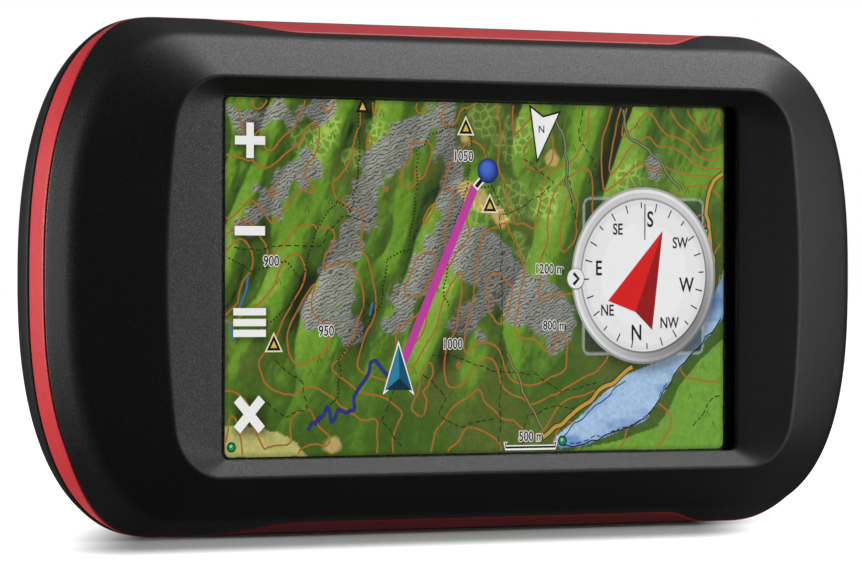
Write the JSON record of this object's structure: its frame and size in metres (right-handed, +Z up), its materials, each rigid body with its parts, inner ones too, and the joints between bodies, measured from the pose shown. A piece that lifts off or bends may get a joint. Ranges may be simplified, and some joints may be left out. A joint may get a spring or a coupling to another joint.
{
  "type": "handheld gps unit",
  "caption": "Rugged handheld satellite navigator with a lit touch display showing a map, a red side band, a latched battery door, weather caps and a tether ring.",
  "frame": {"origin": "on the surface the unit stands on, under the middle of the body, as it stands in landscape on its long side", "axes": "+Z up, +X along the body to the right as seen from the screen side, +Y from the screen towards the back"},
  "size_m": [0.1442, 0.0364, 0.0748],
  "materials": {
    "housing_front": "fine-grain moulded plastic, almost black",
    "housing_rear": "fine-grain moulded plastic, almost black",
    "housing_door": "fine-grain moulded plastic, almost black",
    "accent": "satin moulded band, red",
    "gasket_black": "matt elastomer",
    "gasket_grey": "matt silicone",
    "cover_glass": "clear cover glass with a printed black border",
    "touch_film": "clear film",
    "display": "lit colour display showing a map",
    "backlight_white": "white light guide",
    "tinned_steel": "tinned sheet steel",
    "flex_film": "amber polyimide",
    "circuit_board": "solder-masked glass epoxy",
    "ceramic": "unglazed ceramic",
    "battery_wrap": "moulded cell case",
    "gold_contact": "gold-plated contact",
    "connector_plastic": "black connector moulding",
    "latch_plastic": "moulded plastic, dark grey",
    "steel": "zinc-plated steel",
    "ring_steel": "bent stainless wire",
    "key_rubber": "moulded rubber key",
    "switch_white": "switch moulding",
    "bezel_metal": "turned ring",
    "lens_glass": "dark coated window",
    "cap_rubber": "soft moulded rubber",
    "card_plastic": "moulded card",
    "membrane": "breathable membrane",
    "screw_black": "black-coated screw"
  },
  "bodies": {
    "housing": {"front_housing": "housing_front", "accent_band": "accent", "rear_housing": "housing_rear", "case_gasket": "gasket_black", "glass_adhesive": "gasket_black", "touch_glass": "cover_glass", "touch_sensor": "touch_film", "lcd_panel": "display", "lcd_backlight": "backlight_white", "lcd_frame": "tinned_steel", "lcd_flex": "flex_film", "main_board": "circuit_board", "shield_cans": "tinned_steel", "gps_antenna_patch": "ceramic", "antenna_board": "circuit_board", "rear_board": "circuit_board", "battery_contacts": "gold_contact", "battery_contact_block": "connector_plastic", "key_seal": "gasket_grey", "key_switch": "switch_white", "key_board": "circuit_board", "camera_bezel": "bezel_metal", "camera_window": "lens_glass", "camera_module": "connector_plastic", "usb_port": "tinned_steel", "audio_jack": "connector_plastic", "antenna_connector": "gold_contact", "cradle_contacts": "gold_contact", "contact_block": "connector_plastic", "memory_card_socket": "tinned_steel", "buzzer": "connector_plastic", "vent_membrane": "membrane", "case_screws": "screw_black", "board_screws": "steel"},
    "power_key": {"power_key": "key_rubber", "key_plunger": "connector_plastic"},
    "usb_cap": {"usb_cap": "cap_rubber"},
    "audio_cap": {"audio_cap": "cap_rubber"},
    "antenna_cap": {"antenna_cap": "cap_rubber"},
    "door": {"battery_door": "housing_door", "door_gasket": "gasket_grey"},
    "latch": {"latch_disc": "latch_plastic", "latch_cam": "steel", "latch_screw": "steel"},
    "ring": {"d_ring": "ring_steel"},
    "battery": {"battery_pack": "battery_wrap", "battery_terminals": "gold_contact"},
    "card": {"memory_card": "card_plastic"}
  },
  "joints": [
    {"name": "power_key_press", "type": "slide", "parent": "housing", "child": "power_key", "axis": [0, 0, -1], "range_m": [0, 0.0006], "stiffness_N_per_m": 1200, "springref_m": -0.0002},
    {"name": "usb_cap_hinge", "type": "hinge", "parent": "housing", "child": "usb_cap", "pos_m": [0.0382, -0.001, 0.0739], "axis": [0, 1, 0], "range_deg": [0, 100]},
    {"name": "audio_cap_hinge", "type": "hinge", "parent": "housing", "child": "audio_cap", "pos_m": [0.015, -0.001, 0.0739], "axis": [0, 1, 0], "range_deg": [0, 100]},
    {"name": "antenna_cap_hinge", "type": "hinge", "parent": "housing", "child": "antenna_cap", "pos_m": [-0.0506, 0.0174, 0.0294], "axis": [0, 0, 1], "range_deg": [0, 100]},
    {"name": "door_lift", "type": "slide", "parent": "housing", "child": "door", "axis": [0, 1, 0], "range_m": [0, 0.045]},
    {"name": "latch_turn", "type": "hinge", "parent": "door", "child": "latch", "pos_m": [0.0293, 0.0132, 0.0374], "axis": [0, 1, 0], "range_deg": [0, 90]},
    {"name": "ring_fold", "type": "hinge", "parent": "latch", "child": "ring", "pos_m": [0.0293, 0.0164, 0.0428], "axis": [1, 0, 0], "range_deg": [0, 95]},
    {"name": "battery_lift", "type": "slide", "parent": "housing", "child": "battery", "axis": [0, 1, 0], "range_m": [0, 0.025]},
    {"name": "card_slide", "type": "slide", "parent": "housing", "child": "card", "axis": [0, 0, 1], "range_m": [0, 0.0145]}
  ],
  "couplings": [
    {"joint": "battery_lift", "follows": "door_lift", "ratio": 0.55}
  ]
}
